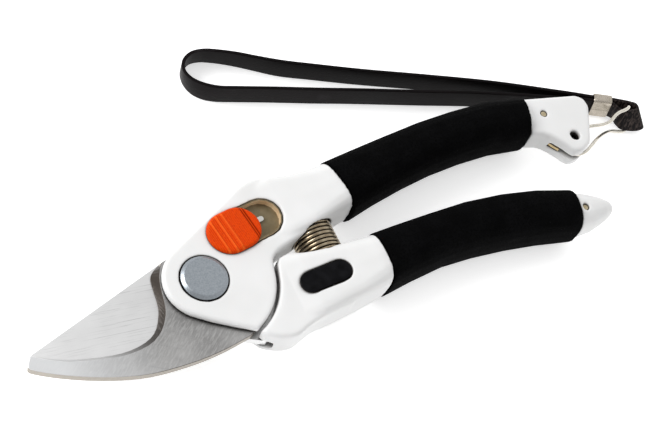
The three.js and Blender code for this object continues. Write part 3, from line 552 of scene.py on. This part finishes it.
# Each row is the middle of the band, then how far its top edge leans along X and Y, in metres.
STRAP_ROUTE = [
    (0.1564, 0.0186, 0.0047, -0.001, 0.0006),
    (0.1588, 0.01715, 0.005, -0.001, 0.0006),
    (0.1622, 0.0148, 0.0051, -0.001, 0.0012),
    (0.1654, 0.0125, 0.0051, -0.001, 0.0019),
    (0.1672, 0.0109, 0.005, -0.001, 0.0024),
    (0.1671, 0.0097, 0.0048, -0.001, 0.0024),
    (0.165, 0.0094, 0.0048, -0.0007, 0.0022),
    (0.1624, 0.0099, 0.0051, -0.0004, 0.0018),
    (0.1603, 0.0108, 0.0051, -0.0004, 0.0013),
    (0.1593, 0.0125, 0.0051, -0.0007, 0.0009),
    (0.159, 0.0144, 0.0051, -0.001, 0.0006),
    (0.1581, 0.01595, 0.00505, -0.001, 0.0006),
    (0.1526, 0.01925, 0.00415, -0.001, 0.0006),
    (0.145, 0.0222, 0.004, -0.0003, 0.0003),
    (0.135, 0.0264, 0.00395, 0.0, 0.0),
    (0.1156, 0.0337, 0.00395, 0.0, 0.0),
    (0.0983, 0.0394, 0.00395, 0.0, 0.0),
    (0.075, 0.0472, 0.00395, 0.0, 0.0),
    (0.0647, 0.0505, 0.00395, 0.0, 0.0),
    (0.05, 0.0554, 0.00395, 0.0, 0.0),
    (0.04, 0.0586, 0.00395, 0.0, 0.0),
    (0.0342, 0.0606, 0.00395, 0.0, 0.0),
    (0.0304, 0.063, 0.00395, -0.0003, 0.0002),
    (0.0281, 0.0659, 0.00395, -0.0005, 0.0002),
    (0.0274, 0.0693, 0.00395, -0.0006, 0.0),
    (0.0287, 0.0727, 0.00395, -0.0004, -0.0002),
    (0.0317, 0.0747, 0.00395, -0.0001, -0.0004),
    (0.0356, 0.0747, 0.00395, 0.0, -0.0005),
    (0.0401, 0.0731, 0.00395, 0.0, -0.0005),
    (0.0456, 0.0704, 0.00395, 0.0, -0.0004),
    (0.0507, 0.0674, 0.00395, 0.0, -0.0003),
    (0.058, 0.0632, 0.00395, 0.0, 0.0),
    (0.0673, 0.059, 0.00395, 0.0, 0.0),
    (0.0812, 0.0529, 0.00395, 0.0, 0.0),
    (0.0993, 0.0455, 0.00395, 0.0, 0.0),
    (0.1218, 0.036, 0.00395, 0.0, 0.0),
    (0.1401, 0.0272, 0.00395, 0.0, 0.0),
    (0.1475, 0.0235, 0.004, -0.0005, 0.0003),
    (0.1533, 0.02045, 0.00415, -0.001, 0.0006),
    (0.1557, 0.019, 0.0046, -0.001, 0.0006),
]
STRAP_HEIGHT = 0.0078
STRAP_THICKNESS = 0.0011
STRAP_ROUNDING = (0.45, 0.07)  # of its half thickness and half height
STRAP_STEPS = 400


def strap():
    path = spline([row[:3] for row in STRAP_ROUTE], STRAP_STEPS)
    leans = spline([(*row[3:], 0.0) for row in STRAP_ROUTE], STRAP_STEPS, even=True)
    section = rounded(2, 2, STRAP_ROUNDING, 3)
    vertices, faces = [], []
    for i, at in enumerate(path):
        along = path[min(i + 1, STRAP_STEPS)] - path[max(i - 1, 0)]
        side = Vector((-along.y, along.x, 0)).normalized()
        lean = leans[i]
        up = Vector((lean.x, lean.y, math.sqrt((STRAP_HEIGHT / 2) ** 2 - lean.length_squared)))
        for across, height in section:
            vertices.append((at + side * across * STRAP_THICKNESS / 2 + up * height) / MM)
    ring = len(section)
    for i in range(STRAP_STEPS):
        for k in range(ring):
            a, b = i * ring + k, i * ring + (k + 1) % ring
            faces.append((a, b, b + ring, a + ring))
    faces.append(tuple(reversed(range(ring))))
    faces.append(tuple(range(STRAP_STEPS * ring, (STRAP_STEPS + 1) * ring)))
    obj = mesh_object("wrist_strap", vertices, faces)
    smooth_shade(obj, 50)
    dress(obj, "strap_bail", "leatherette", LEATHER, "strap")


# ---------------------------------------------------------------- handles and grips

for half in ("upper", "lower"):
    name = f"{half}_handle_body"
    moulded(f"{half}_handle", name, f"{half}_half", "white_plastic", WHITE, 0.36, 10)
for half in ("upper", "lower"):
    name = f"{half}_foam_sleeve"
    sleeve = moulded(f"{half}_grip", name, f"{half}_half", "foam", FOAM, 0.4, 8)

# ---------------------------------------------------------------- metal pieces

edged("counter_blade", "hook_blade", "upper_half", "blade_steel", HOOK, 0.14)
edged("cutting_blade", "cutter_blade", "lower_half", "blade_steel", CUTTER, 0.1)
edged("pivot_bolt", "pivot_bolt_head", "upper_half", "zinc_steel", ZINC, 0.18, angle=30)
edged("pivot_nut", "pivot_hex_nut", "upper_half", "zinc_steel", ZINC, 0.35)
edged("lock_tray", "lock_slot_tray", "upper_half", "chromate_steel", TRAY, 0.1)
edged("name_badge", "blank_badge", "lower_half", "badge_black", BLACK, 0.25, 3)

CARRIED = {
    "upper_core_strip": CHROMATE,
    "upper_core_pin": PIN,
    "lower_core_strip": CHROMATE,
    "lower_core_pin": PIN,
    "upper_spring_seat": ZINC,
    "lower_spring_seat": ZINC,
    "pivot_spring_washer": ZINC,
    "pivot_front_washer": ZINC,
    "pivot_bush": BRONZE,
    "bail_tube": RIVET,
    "lock_slider_plate": BRIGHT,
    "lock_pin": ZINC,
}
for name, material in CARRIED.items():
    nodes[name].material_slots[0].material = material

# ---------------------------------------------------------------- return spring

SPRING_AT = Vector((38.4, 0.0, 8.7))
SPRING_Y = (-7.3, 9.3)
SPRING_TURNS = 12.4
COIL_WIRE = 1.12
COIL_RADIUS = 6.5 - COIL_WIRE / 2
END_TURNS = 0.9
END_RISE = 1.06
COIL_STEPS = 620
COIL_START = 0.6  # radians, where the first turn begins


def return_spring():
    """A compression spring whose end turns lie close."""
    low, high = SPRING_Y[0] + COIL_WIRE / 2, SPRING_Y[1] - COIL_WIRE / 2
    closed = END_TURNS / SPRING_TURNS
    centres = []
    for i in range(COIL_STEPS + 1):
        t = i / COIL_STEPS
        if t < closed:
            y = low + END_RISE * t / closed
        elif t > 1 - closed:
            y = high - END_RISE * (1 - t) / closed
        else:
            open_height = high - low - 2 * END_RISE
            y = low + END_RISE + open_height * (t - closed) / (1 - 2 * closed)
        angle = 2 * math.pi * SPRING_TURNS * t + COIL_START
        radial = Vector((math.cos(angle), 0, math.sin(angle))) * COIL_RADIUS
        centres.append(SPRING_AT + radial + Vector((0, y, 0)))
    coil = tube("return_coil", centres, COIL_WIRE / 2, 14)
    dress(coil, None, "spring_steel", SPRING, "return_spring")
    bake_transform(coil)


return_spring()

# ---------------------------------------------------------------- thumb lock

BUTTON_LENGTH = 16.6
BUTTON_WIDTH = 13.1
BUTTON_FOOT = 15.5
BUTTON_TOP = 16.8
BUTTON_FILLET = 0.9
BUTTON_STEP = 5.9  # along it from its middle, where its low end begins
BUTTON_ROWS, BUTTON_COLUMNS = 230, 44


def ridge(u, at, width):
    """1 on a ridge's crest, falling to 0 at half its width away."""
    away = abs(u - at) / (width / 2)
    return 0.5 + 0.5 * math.cos(math.pi * away) if away < 1 else 0.0


def button_height(u, edge):
    """Height of the button's top, u along it and edge in from its rim."""
    height = BUTTON_TOP - 0.5
    fine = 0.5 + 0.5 * math.sin(2 * math.pi * (u + BUTTON_MIDDLE) / RIB_PITCH)
    height -= 0.12 * min(1.0, max(0.0, (u - BUTTON_STEP) / 0.25))
    height += 0.10 * fine
    for at in BUTTON_RIDGES:
        height += 0.40 * ridge(u, at, 0.9)
    for at in BUTTON_GROOVES:
        height -= 0.3 * ridge(u, at, 0.5)
    height += 0.1 * (1 - (u / (BUTTON_LENGTH / 2)) ** 2)
    if edge < BUTTON_FILLET:
        drop = BUTTON_FILLET - math.sqrt(BUTTON_FILLET**2 - (BUTTON_FILLET - edge) ** 2)
        height = min(height, BUTTON_TOP - 0.35) - drop
    return height


def lock_button():
    """The button's cap: rows of points across a pill, then a wall down from its rim."""
    rows, columns = BUTTON_ROWS, BUTTON_COLUMNS
    half, reach = BUTTON_WIDTH / 2, (BUTTON_LENGTH - BUTTON_WIDTH) / 2
    end = BUTTON_LENGTH / 2 - 0.02
    vertices, faces = [], []
    for i in range(rows + 1):
        u = -BUTTON_LENGTH / 2 + BUTTON_LENGTH * i / rows
        u = max(-end, min(end, u))
        over = max(0.0, abs(u) - reach)
        wide = math.sqrt(half**2 - over**2)
        for j in range(columns + 1):
            v = -wide * math.cos(math.pi * j / columns)
            edge = half - math.hypot(over, v)
            vertices.append((u, v, button_height(u, max(0.0, edge))))
    width = columns + 1
    for i in range(rows):
        for j in range(columns):
            a = i * width + j
            faces.append((a, a + width, a + width + 1, a + 1))
    border = list(range(width))
    border += [i * width + columns for i in range(1, rows + 1)]
    border += [rows * width + j for j in range(columns - 1, -1, -1)]
    border += [i * width for i in range(rows - 1, 0, -1)]
    foot = len(vertices)
    vertices += [(vertices[k][0], vertices[k][1], BUTTON_FOOT) for k in border]
    count = len(border)
    for k in range(count):
        n = (k + 1) % count
        faces.append((border[k], border[n], foot + n, foot + k))
    faces.append(tuple(reversed(range(foot, foot + count))))
    cos, sin = math.cos(BUTTON_TURN), math.sin(BUTTON_TURN)
    placed = [
        (BUTTON_AT.x + u * cos - v * sin, BUTTON_AT.y + u * sin + v * cos, z)
        for u, v, z in vertices
    ]
    obj = mesh_object("thumb_button", placed, faces)
    outward(obj)
    smooth_shade(obj, 60)
    dress(obj, "lock_slide", "orange_plastic", ORANGE, "lock_button")


lock_button()

# ---------------------------------------------------------------- strap fittings


def strap_wire():
    obj = copy_of("strap_wire", "bail_wire")
    rounder = obj.modifiers.new("rounder", "SUBSURF")
    rounder.levels = rounder.render_levels = 1
    settle(obj)
    smooth_shade(obj)
    dress(obj, "strap_bail", "wire_steel", WIRE, "strap_wire")


strap_wire()

CRIMP_AT = Vector((155.7, 18.2, 4.8))
CRIMP_TURN = math.radians(-31)
CRIMP_PITCH = math.radians(-8)
CRIMP_LENGTH = 5.9
CRIMP_OUTER = (3.7, 8.8)
CRIMP_WALL = 0.3
SEAM_DEPTH = 0.22


def crimp_ring(inset, radius, seam=0.0):
    """One ring of the crimp's outline, with a groove halfway up its first side."""
    width, height = (size - 2 * inset for size in CRIMP_OUTER)
    points = rounded(width, height, (radius, radius), 7)
    for up, depth in ((-0.32, 0.0), (-0.14, 0.0), (0.0, seam), (0.14, 0.0), (0.32, 0.0)):
        points.append((width / 2 - depth, up))
    return points


def strap_crimp():
    """A folded metal band round the strap's runs."""
    lip = crimp_ring(0.08, 1.1)
    outside = crimp_ring(0.0, 1.15, SEAM_DEPTH)
    inside = crimp_ring(CRIMP_WALL, 0.85)
    shapes = [lip, outside, outside, lip, inside, inside]
    half = CRIMP_LENGTH / 2
    places = (-half, -half + 0.12, half - 0.12, half, half - 0.1, -half + 0.1)
    turn = Matrix.Rotation(CRIMP_TURN, 3, "Z") @ Matrix.Rotation(CRIMP_PITCH, 3, "Y")
    vertices, faces = [], []
    for along, shape in zip(places, shapes):
        vertices += [CRIMP_AT + turn @ Vector((along, -across, up)) for across, up in shape]
    count = len(lip)
    for i in range(len(shapes)):
        for k in range(count):
            a, b = i * count + k, i * count + (k + 1) % count
            step = count if i < len(shapes) - 1 else -i * count
            faces.append((a, a + step, b + step, b))
    obj = mesh_object("folded_crimp", vertices, faces)
    outward(obj)
    smooth_shade(obj, 40)
    return dress(obj, "strap_bail", "nickel", NICKEL, "strap_crimp")


crimp = strap_crimp()
strap()

# ---------------------------------------------------------------- floor and light


FLOOR_SIZE = 4000
FLOOR_Z = -0.05


def floor():
    signs = ((-1, -1), (1, -1), (1, 1), (-1, 1))
    corners = [(x * FLOOR_SIZE, y * FLOOR_SIZE, FLOOR_Z) for x, y in signs]
    obj = mesh_object("floor", corners, [(0, 1, 2, 3)])
    g = Graph("floor")
    tone = g.mix(g.noise(3, detail=2), (0.90, 0.90, 0.90), (0.93, 0.93, 0.93))
    obj.data.materials.append(
        g.shade(
            Base_Color=tone,
            Roughness=0.9,
            Specular_IOR_Level=0.1,
            Emission_Color=(1.0, 1.0, 1.0),
            Emission_Strength=0.5,
        )
    )


def area_light(name, at, target, size, power):
    """A rectangular lamp, placed in metres."""
    data = bpy.data.lights.new(name, "AREA")
    data.shape = "RECTANGLE"
    data.size, data.size_y = size
    data.energy = power
    light = bpy.data.objects.new(name, data)
    scene.collection.objects.link(light)
    at, target = Vector(at), Vector(target)
    light.matrix_world = (
        Matrix.Translation(at) @ (target - at).to_track_quat("-Z", "Y").to_matrix().to_4x4()
    )


def world_light(back, front):
    """A plain sky that is brighter behind the pruner than in front of it."""
    world = bpy.data.worlds.new("studio")
    world.use_nodes = True
    tree = world.node_tree
    place = tree.nodes.new("ShaderNodeTexCoord")
    along = tree.nodes.new("ShaderNodeVectorMath")
    along.operation = "DOT_PRODUCT"
    along.inputs[1].default_value = (0.78, 0.62, 0.0)
    level = tree.nodes.new("ShaderNodeMapRange")
    for index, number in enumerate((-0.8, 0.7, front, back), start=1):
        level.inputs[index].default_value = number
    tree.links.new(place.outputs["Generated"], along.inputs[0])
    tree.links.new(along.outputs["Value"], level.inputs[0])
    tree.links.new(level.outputs[0], tree.nodes["Background"].inputs["Strength"])
    tree.nodes["Background"].inputs["Color"].default_value = (1.0, 1.0, 1.0, 1.0)
    scene.world = world


floor()
world_light(back=0.95, front=0.56)
area_light("overhead", (-0.70, 0.62, 0.80), (0.05, 0.0, 0.0), (0.7, 0.7), 11.0)
scene.view_settings.view_transform = "Standard"
